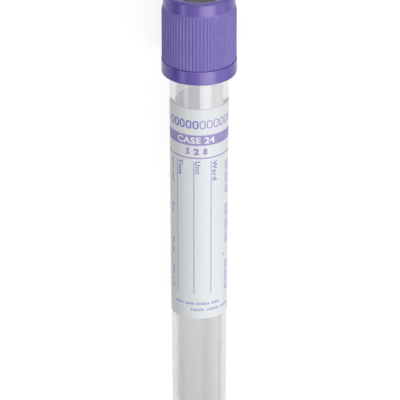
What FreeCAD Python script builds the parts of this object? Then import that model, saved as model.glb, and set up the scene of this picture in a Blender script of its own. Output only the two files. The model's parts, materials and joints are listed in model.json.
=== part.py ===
"""Blood collection tube, 13 x 100 mm, with a push-on safety closure.

Four pieces: a clear round-bottomed tube, a rubber stopper in its mouth, a ribbed plastic shield that
holds the stopper and covers the rim, and a wrap-around label.

Each piece is drawn upright about the Z axis, with the round end at height 0 and the label's front
facing -Y. Then all of them are laid down together as the tube rests on a bench: the shield's lower
edge and the round end touch Z = 0, the closure points to +Y and the label's front faces up.
"""
import FreeCAD, Part
import math
import os

Vector = FreeCAD.Vector

# Driving dimensions, in millimetres and degrees.

# Tube
TUBE_LENGTH = 100.0
TUBE_RIM_DIAMETER = 13.0
TUBE_DRAFT = 0.304              # each side of the tube leans in by this angle towards the round end
TUBE_WALL = 1.05
TUBE_RIM_ROUND = 0.3

# Shield, the coloured plastic part of the closure
SHIELD_COVER = 12.2             # length of tube that the skirt hides
SHIELD_RISE = 7.0               # from the tube's rim up to the shield's top
SKIRT_CLEARANCE = 0.45          # skirt to tube, on the radius
SHIELD_WALL = 0.98
BAND_HEIGHT = 3.25              # smooth band along the skirt's lower edge
BAND_PROUD = 0.08               # the band stands this far outside the rib crests
BAND_ROUND = 0.25
SLEEVE_PROUD = 0.12             # the floor between the ribs stands this far outside the collar
RIB_COUNT = 64
RIB_HEIGHT = 0.17
RIB_FOOT = 0.64                 # width of one rib at its foot
RIB_CREST = 0.18                # width of its flat crest
RIB_GAP = 0.14                  # the ribs stop this far above the band
RIB_RUNOUT = 1.5                # over this length the ribs and the floor between them slope to the collar
COLLAR_HEIGHT = 3.0             # smooth collar above the ribs
TOP_RIM_WIDTH = 1.33
TOP_RIM_ROUND = 0.45
TOP_RIM_INNER_ROUND = 0.3
LEDGE_DEPTH = 1.0               # inward from the top hole
LEDGE_THICKNESS = 1.0
SKIRT_LEAD_IN = 0.35            # bevel inside the skirt's lower edge

# Stopper
FLANGE_HEIGHT = 2.6             # sits on the tube's rim
FLANGE_CLEARANCE = 0.05         # flange to skirt, on the radius
SEAT_GAP = 0.02                 # flange to rim
NECK_CLEARANCE = 0.05           # neck to ledge, on the radius
BEAD_HEIGHT = 1.4               # above the ledge, locks the stopper in the shield
BEAD_CLEARANCE = 0.25           # bead to top hole, on the radius
BEAD_ROUND = 0.5
WELL_RADIUS = 3.45              # hollow that guides the needle
WELL_DEPTH = 3.0
WELL_ROUND = 0.6
PLUG_LENGTH = 8.4
PLUG_CLEARANCE = 0.35           # waist of the plug to the bore, on the radius
SEAL_CLEARANCE = 0.04           # sealing rings to the bore, on the radius
SEAL_HEIGHT = 1.1
SEAL_OFFSET = 0.8               # plain tip of the plug below the lower ring
SEAL_PITCH = 3.0
CAVITY_RADIUS = 3.0             # hollow in the underside of the plug
CAVITY_DEPTH = 5.4
CAVITY_ROUND = 0.8

# Label
LABEL_DROP = 6.55               # from the shield's lower edge down to the label
LABEL_HEIGHT = 51.5
LABEL_THICKNESS = 0.1
LABEL_WINDOW = 9.0              # bare strip between the label's ends
LABEL_WINDOW_TURN = 138.0       # degrees from the label's front to the middle of that strip, towards +X

# Values that follow from them.
DRAFT = math.radians(TUBE_DRAFT)
RIM_RADIUS = TUBE_RIM_DIAMETER / 2
END_RADIUS = (RIM_RADIUS - TUBE_LENGTH * math.tan(DRAFT)) / (1 / math.cos(DRAFT) - math.tan(DRAFT))

SHIELD_BOTTOM = TUBE_LENGTH - SHIELD_COVER
SHIELD_TOP = TUBE_LENGTH + SHIELD_RISE
SKIRT_BORE = RIM_RADIUS + SKIRT_CLEARANCE
COLLAR_RADIUS = SKIRT_BORE + SHIELD_WALL
SLEEVE_RADIUS = COLLAR_RADIUS + SLEEVE_PROUD
CREST_RADIUS = SLEEVE_RADIUS + RIB_HEIGHT
BAND_RADIUS = CREST_RADIUS + BAND_PROUD
TOP_HOLE_RADIUS = COLLAR_RADIUS - TOP_RIM_WIDTH
LEDGE_RADIUS = TOP_HOLE_RADIUS - LEDGE_DEPTH
BAND_TOP = SHIELD_BOTTOM + BAND_HEIGHT
RIB_BOTTOM = BAND_TOP + RIB_GAP
RIB_TOP = SHIELD_TOP - COLLAR_HEIGHT

FLANGE_BOTTOM = TUBE_LENGTH + SEAT_GAP
LEDGE_BOTTOM = FLANGE_BOTTOM + FLANGE_HEIGHT
LEDGE_TOP = LEDGE_BOTTOM + LEDGE_THICKNESS
STOPPER_TOP = LEDGE_TOP + BEAD_HEIGHT
STOPPER_BOTTOM = FLANGE_BOTTOM - PLUG_LENGTH

LABEL_TOP = SHIELD_BOTTOM - LABEL_DROP
LABEL_BOTTOM = LABEL_TOP - LABEL_HEIGHT


def tube_radius(height):
    """Outside radius of the tube's straight part at a height."""
    return RIM_RADIUS - (TUBE_LENGTH - height) * math.tan(DRAFT)


def bore_radius(height):
    return tube_radius(height) - TUBE_WALL


def outline(corners):
    """Closed wire in the XZ plane through (radius, height) or (radius, height, rounding) corners."""
    points = [Vector(c[0], 0, c[1]) for c in corners]
    rounds = [c[2] if len(c) > 2 else 0 for c in corners]
    starts, ends, arcs = [], [], []
    for i, corner in enumerate(points):
        back = (points[i - 1] - corner).normalize()
        ahead = (points[(i + 1) % len(points)] - corner).normalize()
        if rounds[i] == 0:
            starts.append(corner)
            ends.append(corner)
            arcs.append(None)
            continue
        half = back.getAngle(ahead) / 2
        reach = rounds[i] / math.tan(half)
        inward = (back + ahead).normalize()
        middle = corner + inward * (rounds[i] / math.sin(half) - rounds[i])
        starts.append(corner + back * reach)
        ends.append(corner + ahead * reach)
        arcs.append(middle)
    edges = []
    for i in range(len(points)):
        if arcs[i] is not None:
            edges.append(Part.Arc(starts[i], arcs[i], ends[i]).toShape())
        edges.append(Part.makeLine(ends[i], starts[(i + 1) % len(points)]))
    return Part.Wire(edges)


def turned(wire, start=0.0, sweep=360.0):
    """Solid made by turning a wire of the XZ plane about the Z axis."""
    face = Part.Face(wire)
    face.rotate(Vector(0, 0, 0), Vector(0, 0, 1), start)
    return face.revolve(Vector(0, 0, 0), Vector(0, 0, 1), sweep)


def round_end(radius):
    """Arc of the closed end, from the axis to where the drafted side begins."""
    centre = END_RADIUS
    middle = math.radians(45)
    tip = Vector(0, 0, centre - radius)
    side = Vector(radius * math.cos(DRAFT), 0, centre - radius * math.sin(DRAFT))
    between = Vector(radius * math.sin(middle), 0, centre - radius * math.cos(middle))
    return tip, side, Part.Arc(tip, between, side).toShape()


def make_tube():
    """Drafted tube with a half-round end, an even wall and a rounded rim."""
    outer_tip, outer_side, outer_arc = round_end(END_RADIUS)
    inner_tip, inner_side, inner_arc = round_end(END_RADIUS - TUBE_WALL)
    shoulder = TUBE_LENGTH - TUBE_RIM_ROUND
    outer_top = Vector(tube_radius(shoulder), 0, shoulder)
    inner_top = Vector(bore_radius(shoulder), 0, shoulder)
    outer_lip = Vector(tube_radius(shoulder) - TUBE_RIM_ROUND, 0, TUBE_LENGTH)
    inner_lip = Vector(bore_radius(shoulder) + TUBE_RIM_ROUND, 0, TUBE_LENGTH)
    slant = TUBE_RIM_ROUND * (1 - math.sqrt(0.5))
    outer_bend = Vector(outer_top.x - slant, 0, TUBE_LENGTH - slant)
    inner_bend = Vector(inner_top.x + slant, 0, TUBE_LENGTH - slant)
    wire = Part.Wire([
        outer_arc,
        Part.makeLine(outer_side, outer_top),
        Part.Arc(outer_top, outer_bend, outer_lip).toShape(),
        Part.makeLine(outer_lip, inner_lip),
        Part.Arc(inner_lip, inner_bend, inner_top).toShape(),
        Part.makeLine(inner_top, inner_side),
        inner_arc,
        Part.makeLine(inner_tip, outer_tip),
    ])
    return turned(wire)


def rib_section(height):
    """Face across the ribs at a height: a star of even ribs on a core that lies inside the wall."""
    core = SKIRT_BORE + SHIELD_WALL / 2
    half_foot = RIB_FOOT / 2 / SLEEVE_RADIUS
    half_crest = RIB_CREST / 2 / CREST_RADIUS
    points = []
    for i in range(RIB_COUNT):
        middle = 2 * math.pi * (i + 0.5) / RIB_COUNT
        for radius, angle in (
            (core, middle - half_foot),
            (SLEEVE_RADIUS, middle - half_foot),
            (CREST_RADIUS, middle - half_crest),
            (CREST_RADIUS, middle + half_crest),
            (SLEEVE_RADIUS, middle + half_foot),
            (core, middle + half_foot),
        ):
            points.append(Vector(radius * math.cos(angle), radius * math.sin(angle), height))
    return Part.Face(Part.makePolygon(points + points[:1]))


def make_ribs():
    """Ring of vertical ribs whose upper ends slope back to the collar."""
    star = rib_section(RIB_BOTTOM).extrude(Vector(0, 0, RIB_TOP - RIB_BOTTOM))
    slope = RIB_RUNOUT / (CREST_RADIUS - COLLAR_RADIUS)
    envelope = turned(outline([
        (SKIRT_BORE, RIB_BOTTOM),
        (BAND_RADIUS, RIB_BOTTOM),
        (BAND_RADIUS, RIB_TOP - slope * (BAND_RADIUS - COLLAR_RADIUS)),
        (COLLAR_RADIUS, RIB_TOP),
        (SKIRT_BORE, RIB_TOP),
    ]))
    return star.common(envelope)


def make_shield():
    """Ribbed cap with an open top, an inner ledge for the stopper and a skirt over the tube."""
    body = turned(outline([
        (SKIRT_BORE + SKIRT_LEAD_IN, SHIELD_BOTTOM),
        (BAND_RADIUS, SHIELD_BOTTOM, BAND_ROUND),
        (BAND_RADIUS, BAND_TOP, BAND_ROUND / 4),
        (SLEEVE_RADIUS, BAND_TOP),
        (SLEEVE_RADIUS, RIB_TOP - RIB_RUNOUT),
        (COLLAR_RADIUS, RIB_TOP),
        (COLLAR_RADIUS, SHIELD_TOP, TOP_RIM_ROUND),
        (TOP_HOLE_RADIUS, SHIELD_TOP, TOP_RIM_INNER_ROUND),
        (TOP_HOLE_RADIUS, LEDGE_TOP),
        (LEDGE_RADIUS, LEDGE_TOP),
        (LEDGE_RADIUS, LEDGE_BOTTOM),
        (SKIRT_BORE, LEDGE_BOTTOM),
        (SKIRT_BORE, SHIELD_BOTTOM + SKIRT_LEAD_IN),
    ]))
    return body.fuse(make_ribs()).removeSplitter()


def seal_ring(bottom):
    """Outline corners of one sealing ring on the plug, from its lower edge up."""
    top = bottom + SEAL_HEIGHT
    crest_low = bottom + SEAL_HEIGHT / 3
    crest_high = top - SEAL_HEIGHT / 3
    return [
        (bore_radius(bottom) - PLUG_CLEARANCE, bottom),
        (bore_radius(crest_low) - SEAL_CLEARANCE, crest_low),
        (bore_radius(crest_high) - SEAL_CLEARANCE, crest_high),
        (bore_radius(top) - PLUG_CLEARANCE, top),
    ]


def make_stopper():
    """Rubber stopper: plug with two sealing rings, flange, neck, locking bead and needle well."""
    first_seal = STOPPER_BOTTOM + SEAL_OFFSET
    flange = SKIRT_BORE - FLANGE_CLEARANCE
    neck = LEDGE_RADIUS - NECK_CLEARANCE
    bead = TOP_HOLE_RADIUS - BEAD_CLEARANCE
    return turned(outline([
        (0, STOPPER_BOTTOM + CAVITY_DEPTH),
        (CAVITY_RADIUS, STOPPER_BOTTOM + CAVITY_DEPTH, CAVITY_ROUND),
        (CAVITY_RADIUS, STOPPER_BOTTOM),
        (bore_radius(STOPPER_BOTTOM) - PLUG_CLEARANCE, STOPPER_BOTTOM),
        *seal_ring(first_seal),
        *seal_ring(first_seal + SEAL_PITCH),
        (bore_radius(FLANGE_BOTTOM) - PLUG_CLEARANCE, FLANGE_BOTTOM),
        (flange, FLANGE_BOTTOM),
        (flange, LEDGE_BOTTOM),
        (neck, LEDGE_BOTTOM),
        (neck, LEDGE_TOP),
        (bead, LEDGE_TOP),
        (bead, STOPPER_TOP, BEAD_ROUND),
        (WELL_RADIUS, STOPPER_TOP, BEAD_ROUND),
        (WELL_RADIUS, STOPPER_TOP - WELL_DEPTH, WELL_ROUND),
        (0, STOPPER_TOP - WELL_DEPTH),
    ]))


def make_label():
    """Thin label wrapped on the tube, open in a narrow window beside its back."""
    wire = outline([
        (tube_radius(LABEL_BOTTOM), LABEL_BOTTOM),
        (tube_radius(LABEL_BOTTOM) + LABEL_THICKNESS, LABEL_BOTTOM),
        (tube_radius(LABEL_TOP) + LABEL_THICKNESS, LABEL_TOP),
        (tube_radius(LABEL_TOP), LABEL_TOP),
    ])
    middle_radius = tube_radius((LABEL_BOTTOM + LABEL_TOP) / 2)
    window = math.degrees(LABEL_WINDOW / middle_radius)
    front = -90.0
    return turned(wire, front + LABEL_WINDOW_TURN + window / 2, 360 - window)


def resting_place():
    """Lays the upright tube down so that the round end and the band's lower edge touch Z = 0."""
    span = SHIELD_BOTTOM + BAND_ROUND - END_RADIUS
    rise = BAND_RADIUS - BAND_ROUND
    drop = END_RADIUS - BAND_ROUND
    tilt = math.atan2(rise, span) - math.asin(drop / math.hypot(rise, span))
    along = Vector(0, math.cos(tilt), math.sin(tilt))
    rim_centre = SHIELD_TOP - TOP_RIM_ROUND
    rim_reach = COLLAR_RADIUS - TOP_RIM_ROUND
    far = rim_centre * math.cos(tilt) + rim_reach * math.sin(tilt) + TOP_RIM_ROUND
    near = END_RADIUS * math.cos(tilt) - END_RADIUS
    end_centre = Vector(0, END_RADIUS * math.cos(tilt) - (near + far) / 2, END_RADIUS)
    turn = FreeCAD.Rotation(Vector(1, 0, 0), math.degrees(tilt) - 90)
    return FreeCAD.Placement(end_centre - along * END_RADIUS, turn)


PIECES = {
    "tube": make_tube,
    "stopper": make_stopper,
    "shield": make_shield,
    "label": make_label,
}

os.makedirs("parts", exist_ok=True)
place = resting_place()
for name, make in PIECES.items():
    solid = make()
    solid.Placement = place
    solid.exportStep(f"parts/{name}.step")
    box = solid.BoundBox
    print(f"{name}: valid {solid.isValid()}, volume {solid.Volume:.2f} mm3, "
          f"size {box.XLength:.2f} x {box.YLength:.2f} x {box.ZLength:.2f} mm")
print("axis", place.Rotation.multVec(Vector(0, 0, 1)), "foot of the axis", place.Base)
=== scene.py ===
import json
import math

import bmesh
import bpy
from mathutils import Matrix, Vector


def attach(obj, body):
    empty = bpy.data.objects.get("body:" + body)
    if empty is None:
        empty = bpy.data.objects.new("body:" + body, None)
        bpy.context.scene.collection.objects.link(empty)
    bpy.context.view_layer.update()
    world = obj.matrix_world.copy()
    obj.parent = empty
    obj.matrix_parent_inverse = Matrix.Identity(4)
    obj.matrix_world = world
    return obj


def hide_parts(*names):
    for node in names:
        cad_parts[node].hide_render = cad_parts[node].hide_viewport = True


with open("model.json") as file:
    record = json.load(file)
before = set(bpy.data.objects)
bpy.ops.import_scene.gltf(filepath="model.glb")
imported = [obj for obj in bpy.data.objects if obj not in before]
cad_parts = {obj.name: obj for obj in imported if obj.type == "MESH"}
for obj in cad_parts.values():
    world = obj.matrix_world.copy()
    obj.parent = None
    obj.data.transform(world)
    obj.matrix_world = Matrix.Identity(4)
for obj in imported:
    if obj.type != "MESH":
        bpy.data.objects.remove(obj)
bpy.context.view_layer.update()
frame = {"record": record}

# Blood collection tube: a clear tube with a printed label, closed by a rubber stopper in a ribbed violet
# shield. The tube, the label, the stopper and the shield are outlines turned round the tube's axis. The
# standing print is drawn flat and then carried round the label.

# Sizes, in metres and radians. They repeat those of the part's source.
MM = 0.001
TUBE_LENGTH = 100 * MM
TUBE_RIM_RADIUS = 6.5 * MM
TUBE_DRAFT = math.radians(0.304)
TUBE_WALL = 1.05 * MM
TUBE_RIM_ROUND = 0.3 * MM

SHIELD_COVER = 12.2 * MM
SHIELD_RISE = 7 * MM
SKIRT_CLEARANCE = 0.45 * MM
SHIELD_WALL = 0.98 * MM
BAND_HEIGHT = 3.25 * MM
BAND_PROUD = 0.08 * MM
BAND_ROUND = 0.25 * MM
SLEEVE_PROUD = 0.12 * MM
RIB_COUNT = 64
RIB_HEIGHT = 0.17 * MM
RIB_FOOT = 0.64 * MM
RIB_CREST = 0.18 * MM
RIB_GAP = 0.14 * MM
RIB_RUNOUT = 1.5 * MM
COLLAR_HEIGHT = 3.0 * MM
TOP_RIM_WIDTH = 1.33 * MM
TOP_RIM_ROUND = 0.45 * MM
TOP_RIM_INNER_ROUND = 0.3 * MM
LEDGE_DEPTH = 1.0 * MM
LEDGE_THICKNESS = 1.0 * MM
SKIRT_LEAD_IN = 0.35 * MM

FLANGE_HEIGHT = 2.6 * MM
FLANGE_CLEARANCE = 0.05 * MM
SEAT_GAP = 0.02 * MM
NECK_CLEARANCE = 0.05 * MM
BEAD_HEIGHT = 1.4 * MM
BEAD_CLEARANCE = 0.25 * MM
BEAD_ROUND = 0.5 * MM
WELL_RADIUS = 3.45 * MM
WELL_DEPTH = 3.0 * MM
WELL_ROUND = 0.6 * MM
PLUG_LENGTH = 8.4 * MM
PLUG_CLEARANCE = 0.35 * MM
SEAL_CLEARANCE = 0.04 * MM
SEAL_HEIGHT = 1.1 * MM
SEAL_OFFSET = 0.8 * MM
SEAL_PITCH = 3.0 * MM
CAVITY_RADIUS = 3.0 * MM
CAVITY_DEPTH = 5.4 * MM
CAVITY_ROUND = 0.8 * MM

LABEL_DROP = 6.55 * MM
LABEL_HEIGHT = 51.5 * MM
LABEL_THICKNESS = 0.1 * MM
LABEL_WINDOW = 9.0 * MM
LABEL_WINDOW_TURN = math.radians(138)

END_RADIUS = (TUBE_RIM_RADIUS - TUBE_LENGTH * math.tan(TUBE_DRAFT)) / (
    1 / math.cos(TUBE_DRAFT) - math.tan(TUBE_DRAFT))
SHIELD_BOTTOM = TUBE_LENGTH - SHIELD_COVER
SHIELD_TOP = TUBE_LENGTH + SHIELD_RISE
SKIRT_BORE = TUBE_RIM_RADIUS + SKIRT_CLEARANCE
COLLAR_RADIUS = SKIRT_BORE + SHIELD_WALL
SLEEVE_RADIUS = COLLAR_RADIUS + SLEEVE_PROUD
CREST_RADIUS = SLEEVE_RADIUS + RIB_HEIGHT
BAND_RADIUS = CREST_RADIUS + BAND_PROUD
TOP_HOLE_RADIUS = COLLAR_RADIUS - TOP_RIM_WIDTH
LEDGE_RADIUS = TOP_HOLE_RADIUS - LEDGE_DEPTH
BAND_TOP = SHIELD_BOTTOM + BAND_HEIGHT
RIB_BOTTOM = BAND_TOP + RIB_GAP
RIB_TOP = SHIELD_TOP - COLLAR_HEIGHT
FLANGE_BOTTOM = TUBE_LENGTH + SEAT_GAP
LEDGE_BOTTOM = FLANGE_BOTTOM + FLANGE_HEIGHT
LEDGE_TOP = LEDGE_BOTTOM + LEDGE_THICKNESS
STOPPER_TOP = LEDGE_TOP + BEAD_HEIGHT
STOPPER_BOTTOM = FLANGE_BOTTOM - PLUG_LENGTH
LABEL_TOP = SHIELD_BOTTOM - LABEL_DROP
LABEL_BOTTOM = LABEL_TOP - LABEL_HEIGHT
LABEL_MIDDLE = LABEL_TOP - LABEL_HEIGHT / 2

# Sizes that only the scene has.
LABEL_GLUE = 0.02 * MM          # keeps the label's inside just clear of the tube's outside
SEAL_ROUND = 0.2 * MM
CAVITY_EDGE_ROUND = 0.2 * MM
PLUG_EDGE_ROUND = 0.3 * MM

# How finely the meshes are cut.
ROUNDING_STEP = math.radians(9)
END_STEPS = 40
TUBE_FACETS = 256
STOPPER_FACETS = 160
LABEL_FACETS = 220
LABEL_ROWS = 12
RIB_FLANK_STEPS = 5
RIB_RUNOUT_STEPS = 8
BOX_CORNER_STEPS = 5
INK_STEP = 0.3 * MM             # round the label, so that ink follows the curve
BRACE = 0.04 * MM               # from the end of a long run to the point that keeps it flat when shaded
LONG_RUN = 6 * BRACE
WELD = 1e-8                     # points nearer than this are one point
TINY = 1e-9                     # slack for rounding errors

# The tube's own upright frame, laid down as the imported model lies: the foot of the axis, its direction,
# and the way the label's front faces.
MOUNTS = {mount["name"]: mount for mount in frame["record"]["mounts"]}
FOOT = Vector(MOUNTS["round_end"]["pos_m"])
ALONG = -Vector(MOUNTS["round_end"]["axis"]).normalized()
ACROSS = Vector((1, 0, 0))
FRONT = ACROSS.cross(ALONG)


def spot(radius, angle, height):
    """Point at a radius and a height on the tube, turned from the label's front towards +X."""
    return FOOT + ALONG * height + ACROSS * (radius * math.sin(angle)) + FRONT * (radius * math.cos(angle))


def tube_radius(height):
    return TUBE_RIM_RADIUS - (TUBE_LENGTH - height) * math.tan(TUBE_DRAFT)


def bore_radius(height):
    return tube_radius(height) - TUBE_WALL


def label_radius(height):
    return tube_radius(height) + LABEL_THICKNESS


WINDOW_HALF_TURN = LABEL_WINDOW / 2 / tube_radius(LABEL_MIDDLE)


# Meshes

def rounded(corners):
    """Points of a closed outline from (radius, height) or (radius, height, rounding) corners."""
    points = []
    for i, corner in enumerate(corners):
        here = Vector(corner[:2])
        if len(corner) == 2:
            points.append(here)
            continue
        back = (Vector(corners[i - 1][:2]) - here).normalized()
        ahead = (Vector(corners[(i + 1) % len(corners)][:2]) - here).normalized()
        half = back.angle(ahead) / 2
        middle = here + (back + ahead).normalized() * (corner[2] / math.sin(half))
        start = here + back * (corner[2] / math.tan(half)) - middle
        end = here + ahead * (corner[2] / math.tan(half)) - middle
        steps = max(3, math.ceil((math.pi - 2 * half) / ROUNDING_STEP))
        points += [middle + start.slerp(end, k / steps).normalized() * corner[2] for k in range(steps + 1)]
    return points


def braced(points):
    """Closed outline with a point close to each end of its long runs. A run on the axis needs none."""
    found = []
    for i, here in enumerate(points):
        there = points[(i + 1) % len(points)]
        run = there - here
        found.append(here)
        if run.length > LONG_RUN and here[0] + there[0] > TINY:
            found += [here + run.normalized() * BRACE, here + run.normalized() * (run.length - BRACE)]
    return found


def even(count):
    """Angles all the way round."""
    return [2 * math.pi * i / count for i in range(count)]


def placed(name, data):
    """Object of a mesh, a curve, a light or a camera, in the scene."""
    made = bpy.data.objects.new(name, data)
    bpy.context.scene.collection.objects.link(made)
    return made


def finished(name, bm, materials, sharp=32):
    """Object from a bmesh, with smooth shading that stops at edges sharper than the angle in degrees."""
    bmesh.ops.remove_doubles(bm, verts=bm.verts, dist=WELD)
    bmesh.ops.recalc_face_normals(bm, faces=bm.faces)
    mesh = bpy.data.meshes.new(name)
    bm.to_mesh(mesh)
    bm.free()
    mesh.shade_smooth()
    mesh.set_sharp_from_angle(angle=math.radians(sharp))
    for material in materials:
        mesh.materials.append(material)
    return placed(name, mesh)


def turned(points, angles, shape=None, open_ends=False, pick=None):
    """bmesh of a closed outline carried round the axis through the angles.

    shape gives another radius for a (radius, height, angle), and pick a material number for the middle of
    a face. With open_ends the ends are apart and closed flat; otherwise the last angle joins the first.
    """
    bm = bmesh.new()
    rings = []
    for angle in angles:
        radii = [shape(p[0], p[1], angle) if shape else p[0] for p in points]
        rings.append((angle, [bm.verts.new(spot(r, angle, p[1])) for r, p in zip(radii, points)]))
    if not open_ends:
        rings.append((angles[0] + 2 * math.pi, rings[0][1]))
    for (start, near), (end, far) in zip(rings, rings[1:]):
        for k in range(len(points)):
            n = (k + 1) % len(points)
            if points[k][0] + points[n][0] < TINY:
                continue
            face = bm.faces.new((near[k], near[n], far[n], far[k]))
            if pick:
                middle = (points[k] + points[n]) / 2
                face.material_index = pick(middle[0], middle[1], (start + end) / 2)
    if open_ends:
        bm.faces.new(rings[0][1])
        bm.faces.new(rings[-1][1])
    return bm


# Materials

def new_material(name, **values):
    """Material with a Principled shader that has the given socket values."""
    material = bpy.data.materials.new(name)
    material.use_nodes = True
    shader = material.node_tree.nodes["Principled BSDF"]
    for socket, value in values.items():
        shader.inputs[socket.replace("_", " ")].default_value = value
    return material, material.node_tree, shader


def node(tree, kind, inputs=(), **settings):
    """Node with settings; inputs are (socket, value or socket to link) pairs."""
    made = tree.nodes.new(kind)
    for key, value in settings.items():
        setattr(made, key, value)
    for socket, value in inputs:
        if isinstance(value, bpy.types.NodeSocket):
            tree.links.new(value, made.inputs[socket])
        else:
            made.inputs[socket].default_value = value
    return made


def between(tree, share, low, high):
    """Colour that goes from low to high with the share."""
    mixed = node(tree, "ShaderNodeMix", [(0, share), (6, (*low, 1)), (7, (*high, 1))], data_type="RGBA")
    return mixed.outputs[2]


def either(tree, share, first, second):
    """Shader that goes from the first to the second with the share."""
    return node(tree, "ShaderNodeMixShader", [(0, share), (1, first.outputs[0]), (2, second.outputs[0])])


def noise(tree, scale, detail=3.0, stretch=(1, 1, 1)):
    """Noise over the object's own coordinates, with scale in bumps per millimetre."""
    where = node(tree, "ShaderNodeTexCoord")
    mapped = node(tree, "ShaderNodeMapping", [("Vector", where.outputs["Object"]), ("Scale", stretch)])
    return node(tree, "ShaderNodeTexNoise", [
        ("Vector", mapped.outputs["Vector"]), ("Scale", scale / MM), ("Detail", detail)]).outputs["Fac"]


def spread(tree, value, low, high):
    """The value's usual range of 0.3 to 0.7 spread from low to high."""
    return node(tree, "ShaderNodeMapRange", [
        ("Value", value), ("From Min", 0.3), ("From Max", 0.7), ("To Min", low), ("To Max", high),
    ]).outputs["Result"]


def dress(tree, shader, colour, roughness):
    """Links a colour and a roughness that vary over the surface."""
    tree.links.new(colour, shader.inputs["Base Color"])
    tree.links.new(roughness, shader.inputs["Roughness"])


def bump(tree, shader, height, depth, strength):
    """Fine relief, with its depth in millimetres."""
    made = node(tree, "ShaderNodeBump", [
        ("Height", height), ("Distance", depth * MM), ("Strength", strength)])
    tree.links.new(made.outputs["Normal"], shader.inputs["Normal"])


def show(tree, shader, output="Material Output"):
    """Makes a shader the one that the material or the world has."""
    tree.links.new(shader.outputs[0], tree.nodes[output].inputs["Surface"])


def let_light_through(tree, shader, share):
    """Shows a shader, which casts a light shadow: this share of a lamp's light passes."""
    rays = node(tree, "ShaderNodeLightPath").outputs
    passing = node(tree, "ShaderNodeBsdfTransparent", [("Color", (share, share, share, 1))])
    show(tree, either(tree, rays["Is Shadow Ray"], shader, passing))


def clear_plastic():
    """Polished clear plastic, tinted grey; the grey deepens towards the round end as painted shade."""
    material, tree, shader = new_material("clear_plastic", IOR=1.5, Transmission_Weight=1.0)
    where = node(tree, "ShaderNodeTexCoord")
    along = node(tree, "ShaderNodeSeparateXYZ", [("Vector", where.outputs["Object"])])
    # Painted shade: the tint greys what is seen through the tube more and more towards the round end.
    upward = node(tree, "ShaderNodeMapRange", [
        ("Value", along.outputs["Y"]), ("From Min", -50 * MM), ("From Max", 35 * MM)])
    tint = between(tree, upward.outputs["Result"], (0.762, 0.766, 0.772), (0.908, 0.910, 0.916))
    flow = noise(tree, 0.12, 2.0, (1, 0.25, 1))
    dress(tree, shader, tint, spread(tree, flow, 0.0, 0.035))
    bump(tree, shader, flow, 0.02, 0.25)
    let_light_through(tree, shader, 0.98)
    return material


def violet_plastic(name, low, high, roughness):
    """Moulded violet plastic with a satin gloss, a fine grain and slightly uneven colour."""
    material, tree, shader = new_material(
        name, IOR=1.5, Specular_IOR_Level=0.5, Specular_Tint=(1.0, 0.88, 0.97, 1))
    tint = between(tree, spread(tree, noise(tree, 0.35), 0.0, 1.0), low, high)
    dress(tree, shader, tint, spread(tree, noise(tree, 1.5), roughness, roughness + 0.06))
    bump(tree, shader, noise(tree, 6.0, 4.0), 0.01, 0.25)
    return material


def stopper_rubber():
    """Dull grey rubber with a fine matt grain."""
    material, tree, shader = new_material("stopper_rubber", IOR=1.5, Specular_IOR_Level=0.35)
    grain = noise(tree, 4.0, 5.0)
    shade = spread(tree, noise(tree, 0.5), 0.0, 1.0)
    tint = between(tree, shade, (0.290, 0.315, 0.300), (0.345, 0.370, 0.355))
    dress(tree, shader, tint, spread(tree, grain, 0.55, 0.75))
    bump(tree, shader, grain, 0.02, 0.5)
    return material


LABEL_PASSES = 0.97             # share of a lamp's light that paper and ink let through
BACKING_GLOW = 0.9              # share of the glued side's look that is light from the printed side


def paper_fibres(tree):
    """Fine fibres, a little longer along the tube than across it."""
    return noise(tree, 1.6, 6.0, (1, 0.6, 1))


def coated_paper(name, low, high):
    """Coated side of the label, or ink on it. Some light passes on to what lies behind."""
    material, tree, shader = new_material(name, IOR=1.45, Specular_IOR_Level=0.35)
    fibres = paper_fibres(tree)
    tint = between(tree, spread(tree, fibres, 0.0, 1.0), low, high)
    dress(tree, shader, tint, spread(tree, fibres, 0.38, 0.52))
    bump(tree, shader, fibres, 0.008, 0.3)
    let_light_through(tree, shader, LABEL_PASSES)
    return material


def label_backing():
    """Glued side of the label, which mostly glows with the light that falls on its printed side."""
    material, tree, shader = new_material("label_backing", IOR=1.45, Specular_IOR_Level=0.2)
    fibres = paper_fibres(tree)
    tint = between(tree, spread(tree, fibres, 0.0, 1.0), (0.88, 0.88, 0.883), (0.91, 0.91, 0.913))
    dress(tree, shader, tint, spread(tree, fibres, 0.6, 0.7))
    glow = node(tree, "ShaderNodeBsdfTranslucent", [("Color", tint)])
    let_light_through(tree, either(tree, BACKING_GLOW, shader, glow), LABEL_PASSES)
    return material


CLEAR = clear_plastic()
VIOLET = violet_plastic("violet_plastic", (0.100, 0.068, 0.355), (0.114, 0.078, 0.385), 0.20)
# The ribs' violet is lighter than the collar's: the extra lightness is painted sheen from the rib facets.
RIBS_PAINTED_SHEEN = violet_plastic("violet_ribs_painted_sheen", (0.162, 0.126, 0.425), (0.178, 0.139, 0.455), 0.46)
RUBBER = stopper_rubber()
PAPER = coated_paper("label_paper", (0.755, 0.775, 0.800), (0.790, 0.810, 0.835))
INK = coated_paper("label_ink", (0.325, 0.265, 0.560), (0.365, 0.300, 0.600))
BLUE_INK = coated_paper("label_blue_ink", (0.185, 0.195, 0.540), (0.215, 0.225, 0.590))
PALE_INK = coated_paper("label_pale_ink", (0.370, 0.385, 0.640), (0.410, 0.425, 0.680))
BACKING = label_backing()
WHITE_INK = coated_paper("label_white_ink", (0.80, 0.80, 0.83), (0.84, 0.84, 0.87))


# Turned pieces

def arc_of_end(radius):
    """Half-round end, from the axis to the drafted side, about the end's centre."""
    turns = [(math.pi / 2 - TUBE_DRAFT) * k / END_STEPS for k in range(END_STEPS + 1)]
    return [Vector((radius * math.sin(turn), END_RADIUS - radius * math.cos(turn))) for turn in turns]


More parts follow.
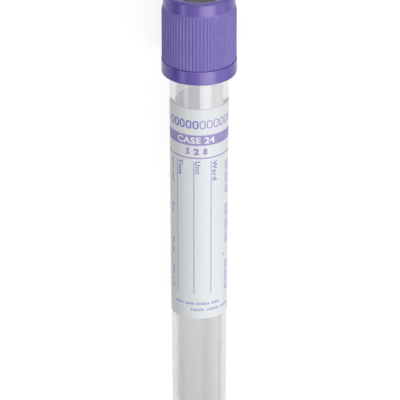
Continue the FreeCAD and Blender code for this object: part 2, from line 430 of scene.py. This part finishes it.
def under_label(radius, height, angle):
    """1 on the tube's outside where the label is glued to it, so that the wall shows the paper itself."""
    turn = abs((angle - LABEL_WINDOW_TURN + math.pi) % (2 * math.pi) - math.pi)
    outside = radius > tube_radius(height) - TUBE_WALL / 2
    return 1 if outside and LABEL_BOTTOM < height < LABEL_TOP and turn >= WINDOW_HALF_TURN else 0


def build_tube():
    """Clear tube. Its outline has points at the label's two edges, where the outside changes its look."""
    lip = rounded([
        (tube_radius(TUBE_LENGTH), TUBE_LENGTH, TUBE_RIM_ROUND),
        (bore_radius(TUBE_LENGTH), TUBE_LENGTH, TUBE_RIM_ROUND),
        (bore_radius(LABEL_BOTTOM), LABEL_BOTTOM),
        (tube_radius(LABEL_BOTTOM), LABEL_BOTTOM),
    ])[:-2]                     # the last two corners only direct the roundings
    label_ends = [Vector((tube_radius(height), height)) for height in (LABEL_BOTTOM, LABEL_TOP)]
    points = braced(arc_of_end(END_RADIUS) + label_ends + lip + arc_of_end(END_RADIUS - TUBE_WALL)[::-1])
    return finished("tube_shell", turned(points, even(TUBE_FACETS), pick=under_label), [CLEAR, BACKING])


def rib_rise(angle):
    """Share of a rib's full height at an angle, with smooth flanks."""
    pitch = 2 * math.pi / RIB_COUNT
    off = abs((angle / pitch) % 1 - 0.5) * pitch * SLEEVE_RADIUS
    rise = min(1, max(0, (RIB_FOOT / 2 - off) / ((RIB_FOOT - RIB_CREST) / 2)))
    return rise * rise * (3 - 2 * rise)


def shield_radius(radius, height, angle):
    """The ribs and the floor between them share the outline; both sink into the collar at their top."""
    ribbed = RIB_BOTTOM - TINY < height < RIB_TOP + TINY
    if not (ribbed and COLLAR_RADIUS - TINY < radius < CREST_RADIUS + TINY):
        return radius
    sunk = max(0, (height - RIB_TOP) / RIB_RUNOUT + 1)
    floor = SLEEVE_RADIUS - sunk * (SLEEVE_RADIUS - COLLAR_RADIUS)
    return floor + max(0, radius - floor) * rib_rise(angle)


# Marks the ribs for the lighter violet, whose extra lightness is painted sheen.
def on_ribs(radius, height, angle):
    """1 on the outside between the band and the collar."""
    return 1 if radius > COLLAR_RADIUS and RIB_BOTTOM < height < RIB_TOP else 0


def rib_angles():
    """Angles at which the ribs are cut: the middle of each crest, and down both flanks from its edges."""
    flank = (RIB_FOOT - RIB_CREST) / 2
    offsets = [RIB_CREST / 2 + flank * k / RIB_FLANK_STEPS for k in range(RIB_FLANK_STEPS + 1)]
    offsets = [-x for x in reversed(offsets)] + [0] + offsets
    crests = [2 * math.pi * (i + 0.5) / RIB_COUNT for i in range(RIB_COUNT)]
    return [crest + x / SLEEVE_RADIUS for crest in crests for x in offsets]


def build_shield():
    """Violet shield: band, ribs and collar outside; top hole, ledge and skirt inside."""
    full = RIB_TOP - RIB_RUNOUT
    drop = CREST_RADIUS - COLLAR_RADIUS
    shares = [k / RIB_RUNOUT_STEPS for k in range(RIB_RUNOUT_STEPS + 1)]
    points = braced(rounded([
        (SKIRT_BORE + SKIRT_LEAD_IN, SHIELD_BOTTOM),
        (BAND_RADIUS, SHIELD_BOTTOM, BAND_ROUND),
        (BAND_RADIUS, BAND_TOP, BAND_ROUND / 4),
        (SLEEVE_RADIUS, BAND_TOP),
        (SLEEVE_RADIUS, RIB_BOTTOM),
        (CREST_RADIUS, RIB_BOTTOM),
        *((CREST_RADIUS - share * drop, full + share * RIB_RUNOUT) for share in shares),
        (COLLAR_RADIUS, SHIELD_TOP, TOP_RIM_ROUND),
        (TOP_HOLE_RADIUS, SHIELD_TOP, TOP_RIM_INNER_ROUND),
        (TOP_HOLE_RADIUS, LEDGE_TOP),
        (LEDGE_RADIUS, LEDGE_TOP),
        (LEDGE_RADIUS, LEDGE_BOTTOM),
        (SKIRT_BORE, LEDGE_BOTTOM),
        (SKIRT_BORE, SHIELD_BOTTOM + SKIRT_LEAD_IN),
    ]))
    bm = turned(points, rib_angles(), shield_radius, pick=on_ribs)
    return finished("ribbed_shield", bm, [VIOLET, RIBS_PAINTED_SHEEN], sharp=40)


def seal_ring(bottom):
    """Outline corners of one sealing ring on the plug."""
    top = bottom + SEAL_HEIGHT
    low = bottom + SEAL_HEIGHT / 3
    high = top - SEAL_HEIGHT / 3
    return [
        (bore_radius(bottom) - PLUG_CLEARANCE, bottom),
        (bore_radius(low) - SEAL_CLEARANCE, low, SEAL_ROUND),
        (bore_radius(high) - SEAL_CLEARANCE, high, SEAL_ROUND),
        (bore_radius(top) - PLUG_CLEARANCE, top),
    ]


def build_stopper():
    """Rubber stopper: hollow plug with two sealing rings, flange, neck, and bead round the needle's well."""
    first_seal = STOPPER_BOTTOM + SEAL_OFFSET
    flange = SKIRT_BORE - FLANGE_CLEARANCE
    neck = LEDGE_RADIUS - NECK_CLEARANCE
    bead = TOP_HOLE_RADIUS - BEAD_CLEARANCE
    points = braced(rounded([
        (0, STOPPER_BOTTOM + CAVITY_DEPTH),
        (CAVITY_RADIUS, STOPPER_BOTTOM + CAVITY_DEPTH, CAVITY_ROUND),
        (CAVITY_RADIUS, STOPPER_BOTTOM, CAVITY_EDGE_ROUND),
        (bore_radius(STOPPER_BOTTOM) - PLUG_CLEARANCE, STOPPER_BOTTOM, PLUG_EDGE_ROUND),
        *seal_ring(first_seal),
        *seal_ring(first_seal + SEAL_PITCH),
        (bore_radius(FLANGE_BOTTOM) - PLUG_CLEARANCE, FLANGE_BOTTOM),
        (flange, FLANGE_BOTTOM),
        (flange, LEDGE_BOTTOM),
        (neck, LEDGE_BOTTOM),
        (neck, LEDGE_TOP),
        (bead, LEDGE_TOP),
        (bead, STOPPER_TOP, BEAD_ROUND),
        (WELL_RADIUS, STOPPER_TOP, BEAD_ROUND),
        (WELL_RADIUS, STOPPER_TOP - WELL_DEPTH, WELL_ROUND),
        (0, STOPPER_TOP - WELL_DEPTH),
    ]))
    return finished("rubber_stopper", turned(points, even(STOPPER_FACETS)), [RUBBER])


# Print that is part of the label's face: heights down from its top edge, widths round it from the front.
COLOUR_BAND = (6.25 * MM, 8.75 * MM)
FIELD_LINE = (11.65 * MM, 11.95 * MM)
RULES = (-5.35 * MM, -1.17 * MM, 2.72 * MM)
RULE_WIDTH = 0.24 * MM
RULE_SPAN = (12.7 * MM, 45.3 * MM)
RULE_MARGIN = 0.003             # the label isn't cut within this angle of a rule's edge


def inked(radius, height, angle):
    """0 on bare paper, 1 on the colour band and the line below it, 2 on a rule, 3 on the glued side."""
    down = LABEL_TOP - height
    if radius < label_radius(height) - LABEL_THICKNESS / 10:
        return 3
    if COLOUR_BAND[0] < down < COLOUR_BAND[1] or FIELD_LINE[0] < down < FIELD_LINE[1]:
        return 1
    round_it = angle * label_radius(LABEL_MIDDLE)
    if RULE_SPAN[0] < down < RULE_SPAN[1] and any(abs(round_it - x) < RULE_WIDTH / 2 for x in RULES):
        return 2
    return 0


def build_label():
    """Label, cut along the edges of its printed band, line and rules. Its ends leave the bare strip."""
    middle = label_radius(LABEL_MIDDLE)
    half = math.pi - WINDOW_HALF_TURN
    opposite = LABEL_WINDOW_TURN - math.pi
    edges = [(x + side * RULE_WIDTH / 2) / middle for x in RULES for side in (-1, 1)]
    angles = [opposite + half * (2 * i / LABEL_FACETS - 1) for i in range(LABEL_FACETS + 1)]
    angles = [angle for angle in angles if all(abs(angle - edge) > RULE_MARGIN for edge in edges)]
    rows = [LABEL_HEIGHT * k / LABEL_ROWS for k in range(LABEL_ROWS)]
    downs = sorted({*rows, LABEL_HEIGHT, *COLOUR_BAND, *FIELD_LINE, *RULE_SPAN})
    outer = [Vector((label_radius(LABEL_TOP - d), LABEL_TOP - d)) for d in downs]
    inner = [Vector((tube_radius(LABEL_TOP - d) + LABEL_GLUE, LABEL_TOP - d)) for d in (LABEL_HEIGHT, 0)]
    bm = turned(outer + inner, sorted(angles + edges), open_ends=True, pick=inked)
    return finished("printed_label", bm, [PAPER, INK, PALE_INK, BACKING])


# Ink that stands on the label. It is drawn flat, in (round the label, down from its top) coordinates.

INK_THICKNESS = 0.006 * MM
INK_LIFT = 0.002 * MM           # from the label's face to the underside of the ink
BOX_LEAST_ROUND = 0.01 * MM     # inside a box's corners
QUARTER = math.pi / 2


def flat_slab(bm, corners, hole=None):
    """Thin slab from an outline, or between an outline and a hole with as many corners."""
    layers = [[bm.verts.new((x, y, z)) for x, y in path]
              for z in (0, INK_THICKNESS) for path in (corners, hole or corners)]
    low, low_hole, high, high_hole = layers
    count = len(corners)
    if not hole:
        bm.faces.new(low)
        bm.faces.new(high)
    for i in range(count):
        n = (i + 1) % count
        bm.faces.new((low[i], low[n], high[n], high[i]))
        if hole:
            bm.faces.new((low_hole[i], low_hole[n], high_hole[n], high_hole[i]))
            bm.faces.new((low[i], low[n], low_hole[n], low_hole[i]))
            bm.faces.new((high[i], high[n], high_hole[n], high_hole[i]))
    if not hole:
        bmesh.ops.delete(bm, geom=low_hole + high_hole, context="VERTS")


def patch(bm, middle, down, width, height):
    """Small printed rectangle with its middle at the given place."""
    x, y, w, h = middle, down, width / 2, height / 2
    flat_slab(bm, [(x - w, y - h), (x + w, y - h), (x + w, y + h), (x - w, y + h)])


def box(bm, middle, down, width, height, line, rounding):
    """Outlined box with rounded corners."""
    def path(inset):
        corner = max(rounding - inset, BOX_LEAST_ROUND)
        w, h = width / 2 - inset - corner, height / 2 - inset - corner
        found = []
        for quarter, (sx, sy) in enumerate(((1, 1), (-1, 1), (-1, -1), (1, -1))):
            for k in range(BOX_CORNER_STEPS + 1):
                turn = QUARTER * (quarter + k / BOX_CORNER_STEPS)
                found.append((middle + sx * w + corner * math.cos(turn),
                              down + sy * h + corner * math.sin(turn)))
        return found
    flat_slab(bm, path(0), path(line))


def word(bm, text, middle, down, width, height, weight, turn=0.0):
    """Word fitted to a size in millimetres about its middle, and turned clockwise about it by an angle."""
    curve = bpy.data.curves.new("word", "FONT")
    curve.body = text
    curve.size = 1.0
    curve.offset = weight
    curve.space_character = 1.1
    curve.extrude = 0.5
    curve.resolution_u = 4
    holder = placed("word", curve)
    bpy.context.view_layer.update()
    mesh = bpy.data.meshes.new_from_object(holder.evaluated_get(bpy.context.evaluated_depsgraph_get()))
    bpy.data.objects.remove(holder)
    bpy.data.curves.remove(curve)
    low = [min(v.co[i] for v in mesh.vertices) for i in range(3)]
    high = [max(v.co[i] for v in mesh.vertices) for i in range(3)]
    sizes = (width * MM, height * MM, INK_THICKNESS)
    for vertex in mesh.vertices:
        x, y, z = ((vertex.co[i] - low[i]) / (high[i] - low[i]) * sizes[i] for i in range(3))
        x, y = x - sizes[0] / 2, sizes[1] / 2 - y
        vertex.co = (middle * MM + x * math.cos(turn) - y * math.sin(turn),
                     down * MM + x * math.sin(turn) + y * math.cos(turn), z)
    bm.from_mesh(mesh)
    bpy.data.meshes.remove(mesh)


def wrapped(name, bm, material):
    """Carries flat ink round the label."""
    bmesh.ops.remove_doubles(bm, verts=bm.verts, dist=TINY)
    reach = math.ceil(max(abs(v.co.x) for v in bm.verts) / INK_STEP)
    for i in range(-reach, reach + 1):
        bmesh.ops.bisect_plane(bm, geom=bm.verts[:] + bm.edges[:] + bm.faces[:], dist=WELD,
                               plane_co=(i * INK_STEP, 0, 0), plane_no=(1, 0, 0))
    bmesh.ops.triangulate(bm, faces=[f for f in bm.faces if len(f.verts) > 4])
    middle = label_radius(LABEL_MIDDLE)
    for vertex in bm.verts:
        round_it, down, out = vertex.co
        height = LABEL_TOP - down
        vertex.co = spot(label_radius(height) + INK_LIFT + out, round_it / middle, height)
    return finished(name, bm, [material], sharp=50)


LETTER_PITCH = 0.85             # of the print's height
LETTER_WIDTH = 0.75             # of a letter's pitch
TALL_LETTER = 1.3               # of the print's height, every fifth letter


def small_print(bm, start, beside, length, height, words, along=True):
    """Row of short bars that stands for small print, running round the label or down it.

    start, beside, length and height are in millimetres; words are shares of the length, in turn for a word
    and for a space.
    """
    at, beside, height = start * MM, beside * MM, height * MM
    for i, share in enumerate(words):
        size = length * MM * share
        if i % 2 == 0:
            letters = max(1, round(size / (LETTER_PITCH * height)))
            for k in range(letters):
                middle = at + size * (k + 0.5) / letters
                tall = height * (1.0 if (i + 2 * k) % 5 else TALL_LETTER)
                wide = size / letters * LETTER_WIDTH
                if along:
                    patch(bm, middle, beside - (tall - height) / 2, wide, tall)
                else:
                    patch(bm, beside + (tall - height) / 2, middle, tall, wide)
        at += size


# The standing print's places and sizes, in millimetres.

# Row of boxes for the sample's number: middle of box 0 round the label, pitch, and size of each.
BOX_START = 0.78
BOX_PITCH = 1.56
BOX_DOWN = 3.7
BOX_WIDTH = 1.34
BOX_HEIGHT = 2.0
BOX_ROUND = 0.6

# Words: text, middle round the label, middle down from its top, width and height as it reads.
NUMBERS = (("5", -2.55, 10.2, 0.85, 1.6), ("2", -0.6, 10.2, 1.15, 1.6), ("8", 1.35, 10.2, 0.95, 1.6))
HEADINGS = (
    ("Time", -4.4, 14.45, 3.7, 1.15),
    ("Unit", -0.3, 14.15, 3.1, 1.15),
    ("Ward", 3.6, 15.1, 4.8, 1.15),
)
BAND_WORD = ("CASE 24", -0.82, 7.5, 8.75, 1.6)

# Rows of small print: start, middle of the row the other way, length, height, words.
LOWER_ROWS = [(-5.9, 47.8, 10.9, 0.55, (0.2, 0.04, 0.2, 0.04, 0.28, 0.04, 0.2)),
              (-2.0, 49.3, 10.6, 0.55, (0.3, 0.05, 0.3, 0.05, 0.3))]
RIGHT_ROWS = [(start, across, length, 0.55, (0.3, 0.05, 0.35, 0.05, 0.25))
              for start, length in ((14.0, 8.0), (24.7, 9.6), (38.6, 7.2)) for across in (7.2, 8.0)]
LEFT_ROWS = [(start, -7.0, length, 0.6, (0.45, 0.1, 0.45))
             for start, length in ((12.9, 6.0), (23.9, 2.6), (32.5, 4.0), (39.5, 5.4))]

# Middle round the label, middle down from its top, width and height.
SIDE_DOT = (6.65, 36.8, 0.5, 0.6)


def number_boxes(bm, numbers, line):
    """Rounded boxes for the sample's number, by their places in the row. line is in millimetres."""
    for i in numbers:
        box(bm, (BOX_START + BOX_PITCH * i) * MM, BOX_DOWN * MM, BOX_WIDTH * MM, BOX_HEIGHT * MM,
            line * MM, BOX_ROUND * MM)


def build_print():
    """Violet print: the paler boxes of the sample's number, and plain numbers below the colour band."""
    bm = bmesh.new()
    number_boxes(bm, range(0, 6), line=0.25)
    for number in NUMBERS:
        word(bm, *number, weight=0.065)
    return wrapped("label_print", bm, INK)


def build_blue_print():
    """Blue print: the bold boxes of the sample's number, and the headings of the fields."""
    bm = bmesh.new()
    number_boxes(bm, range(-5, 0), line=0.36)
    for heading in HEADINGS:
        word(bm, *heading, weight=0.02, turn=QUARTER)
    return wrapped("label_blue_print", bm, BLUE_INK)


def build_fine_print():
    """Paler small print along the label's lower edge and down both sides, with a dot beside it."""
    bm = bmesh.new()
    for row in LOWER_ROWS:
        small_print(bm, *row)
    for row in RIGHT_ROWS + LEFT_ROWS:
        small_print(bm, *row, along=False)
    patch(bm, *(size * MM for size in SIDE_DOT))
    return wrapped("label_fine_print", bm, PALE_INK)


def build_white_word():
    """White word in the colour band."""
    bm = bmesh.new()
    word(bm, *BAND_WORD, weight=0.035)
    return wrapped("label_word", bm, WHITE_INK)


def place_pieces():
    """Each piece moves with a body, and the turned ones stand for their CAD nodes."""
    for piece, body, cad_node, slot in (
        (build_tube(), "tube_body", "tube", "clear_plastic"),
        (build_label(), "tube_body", "label", "label_paper"),
        (build_stopper(), "closure", "stopper", "stopper_rubber"),
        (build_shield(), "closure", "shield", "violet_plastic"),
        (build_print(), "tube_body", None, "label_paper"),
        (build_blue_print(), "tube_body", None, "label_paper"),
        (build_fine_print(), "tube_body", None, "label_paper"),
        (build_white_word(), "tube_body", None, "label_paper"),
    ):
        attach(piece, body)
        if cad_node:
            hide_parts(cad_node)


# Stage

# Level of the sky by its direction round the tube, in degrees from straight up towards +X: as lit surfaces
# see it, and as gloss sees it.
SOFT_SKY = ((-90, 0.44), (-60, 0.52), (-20, 0.46), (30, 0.42), (60, 0.60), (90, 1.05))
GLOSS_SKY = ((-90, 0.35), (-78, 0.15), (-70, 0.25), (-60, 0.9), (-30, 1.2), (-3, 1.7), (12, 1.3), (26, 0.7),
             (42, 1.2), (60, 2.2), (90, 2.2))

# Light panels level with the round end: direction in degrees, as above; width; radiance. The softbox, with
# its width in metres, lights the surfaces. The glints, with theirs in degrees, are seen by gloss alone.
SOFTBOX = (27, 0.212, 4.3)
GLINTS = ((-51, 16, 2.3), (4, 8, 2.6), (13, 10, 4.0), (24, 12, 5.6), (36, 12, 5.9), (47, 10, 3.6))
PANEL_DISTANCE = 0.25
PANEL_LENGTH = 0.10

# Light out past the closure, facing back along the tube.
END_LIGHT_DISTANCE = 0.30
END_LIGHT_HEIGHT = 0.17
END_LIGHT_WIDTH = 0.18
END_LIGHT_LENGTH = 0.15
END_LIGHT_RADIANCE = 4.0

FLOOR_REACH = 3.0
FLOOR_TONE = (0.595, 0.605)     # the table's own colour, from speck to speck, as it lights the object
# The white that the camera and gloss see, in the open and through clear plastic.
FLOOR_SHADED = (0.25, 0.55)     # the part of it that shadows darken
FLOOR_GLOW = (0.82, 0.42)       # the part of it that they leave

CAMERA_LEAN = math.radians(26)
CAMERA_DISTANCE = 1.2
CAMERA_SENSOR = 36
CAMERA_LENS = 487
CAMERA_RANGE = 20
CAMERA_TARGET = FOOT + ALONG * (56.17 * MM) + ACROSS * (0.19 * MM)


def larger(tree, first, second):
    """The larger of two values."""
    return node(tree, "ShaderNodeMath", [(0, first), (1, second)], operation="MAXIMUM").outputs[0]


def switched(tree, ray, otherwise, if_so):
    """One value, or the other for rays of a kind."""
    return node(tree, "ShaderNodeMapRange", [
        ("Value", ray), ("To Min", otherwise), ("To Max", if_so)]).outputs["Result"]


def build_floor():
    """Table top that the camera and gloss see as white, with a soft shadow that is deeper through plastic."""
    bm = bmesh.new()
    corners = ((-1, -1), (1, -1), (1, 1), (-1, 1))
    bm.faces.new([bm.verts.new((x * FLOOR_REACH, y * FLOOR_REACH, 0)) for x, y in corners])
    material, tree, shader = new_material("floor_white", Roughness=0.9, Specular_IOR_Level=0.0)
    speck = spread(tree, noise(tree, 0.05), *FLOOR_TONE)
    tone = node(tree, "ShaderNodeCombineColor", [("Red", speck), ("Green", speck), ("Blue", speck)])
    tree.links.new(tone.outputs[0], shader.inputs["Base Color"])
    rays = node(tree, "ShaderNodeLightPath").outputs
    through = rays["Is Transmission Ray"]
    shaded = node(tree, "ShaderNodeBsdfDiffuse", [("Color", switched(tree, through, *FLOOR_SHADED))])
    glow = node(tree, "ShaderNodeEmission", [
        ("Color", (1, 1, 1, 1)), ("Strength", switched(tree, through, *FLOOR_GLOW))])
    white = node(tree, "ShaderNodeAddShader", [(0, shaded.outputs[0]), (1, glow.outputs[0])])
    show(tree, either(tree, larger(tree, rays["Is Camera Ray"], rays["Is Glossy Ray"]), shader, white))
    return finished("floor", bm, [material])


def sky(tree, across, levels):
    """Background that changes with the direction round the tube."""
    full = max(level for _, level in levels)
    ramp = node(tree, "ShaderNodeValToRGB", [("Fac", across)])
    stops = ramp.color_ramp.elements
    stops.remove(stops[1])
    stops[0].position = levels[0][0] / 180 + 0.5
    for i, (turn, level) in enumerate(levels):
        stop = stops.new(turn / 180 + 0.5) if i else stops[0]
        stop.color = (level / full, level / full, level / full, 1)
    return node(tree, "ShaderNodeBackground", [("Color", ramp.outputs["Color"]), ("Strength", full)])


def light_world():
    """Soft sky, brighter towards +X, with stronger contrast for gloss. The camera and glass see it white."""
    world = bpy.data.worlds.new("studio")
    world.use_nodes = True
    tree = world.node_tree
    where = node(tree, "ShaderNodeTexCoord")
    part = node(tree, "ShaderNodeSeparateXYZ", [("Vector", where.outputs["Generated"])]).outputs
    turn = node(tree, "ShaderNodeMath", [(0, part["X"]), (1, part["Z"])], operation="ARCTAN2")
    across = node(tree, "ShaderNodeMapRange", [
        ("Value", turn.outputs[0]), ("From Min", -QUARTER), ("From Max", QUARTER)]).outputs["Result"]
    rays = node(tree, "ShaderNodeLightPath").outputs
    lit = either(tree, rays["Is Glossy Ray"], sky(tree, across, SOFT_SKY), sky(tree, across, GLOSS_SKY))
    white = node(tree, "ShaderNodeBackground", [("Color", (1, 1, 1, 1)), ("Strength", 1.0)])
    clear = larger(tree, rays["Is Camera Ray"], rays["Is Transmission Ray"])
    show(tree, either(tree, clear, lit, white), "World Output")
    bpy.context.scene.world = world


def pose(place, side, upward, back):
    """Matrix that stands a light or a camera at a place, looking against back."""
    return Matrix.Translation(place) @ Matrix((side, upward, back)).transposed().to_4x4()


def panel(name, standing, width, length, radiance):
    """Rectangular light that the camera doesn't see."""
    lamp = bpy.data.lights.new(name, "AREA")
    lamp.shape = "RECTANGLE"
    lamp.size = width
    lamp.size_y = length
    lamp.energy = radiance * math.pi * width * length
    holder = placed(name, lamp)
    holder.matrix_world = standing
    holder.visible_camera = False
    return holder


def side_panel(name, degrees, width, radiance):
    """Light panel level with the round end, turned from the label's front towards +X, facing the tube."""
    turn = math.radians(degrees)
    back = ACROSS * math.sin(turn) + FRONT * math.cos(turn)
    standing = pose(FOOT + back * PANEL_DISTANCE, ALONG.cross(back), ALONG, back)
    return panel(name, standing, width, PANEL_LENGTH, radiance)


def light_panels():
    """One wide softbox lights the surfaces, and a row of narrow panels gives the bands that gloss shows."""
    softbox = side_panel("softbox", *SOFTBOX)
    softbox.visible_glossy = False
    softbox.visible_transmission = False
    for i, (turn, width, radiance) in enumerate(GLINTS):
        glint = side_panel(f"glint_{i}", turn, math.radians(width) * PANEL_DISTANCE, radiance)
        glint.visible_diffuse = False
        glint.visible_transmission = False
    past = FOOT + ALONG * (TUBE_LENGTH + END_LIGHT_DISTANCE) + FRONT * END_LIGHT_HEIGHT
    facing_back = pose(past, -ACROSS, FRONT, ALONG)
    panel("end_light", facing_back, END_LIGHT_WIDTH, END_LIGHT_LENGTH, END_LIGHT_RADIANCE)


def aim_camera():
    """Camera over the lying tube, leaning towards the closure, so that the tube appears upright."""
    data = bpy.data.cameras.new("camera")
    data.sensor_width = CAMERA_SENSOR
    data.lens = CAMERA_LENS
    data.clip_end = CAMERA_RANGE
    back = ALONG * math.sin(CAMERA_LEAN) + FRONT * math.cos(CAMERA_LEAN)
    upward = ALONG * math.cos(CAMERA_LEAN) - FRONT * math.sin(CAMERA_LEAN)
    camera = placed("camera", data)
    camera.matrix_world = pose(CAMERA_TARGET + back * CAMERA_DISTANCE, ACROSS, upward, back)
    bpy.context.scene.camera = camera


place_pieces()
build_floor()
light_world()
light_panels()
aim_camera()
bpy.context.scene.view_settings.view_transform = "Standard"
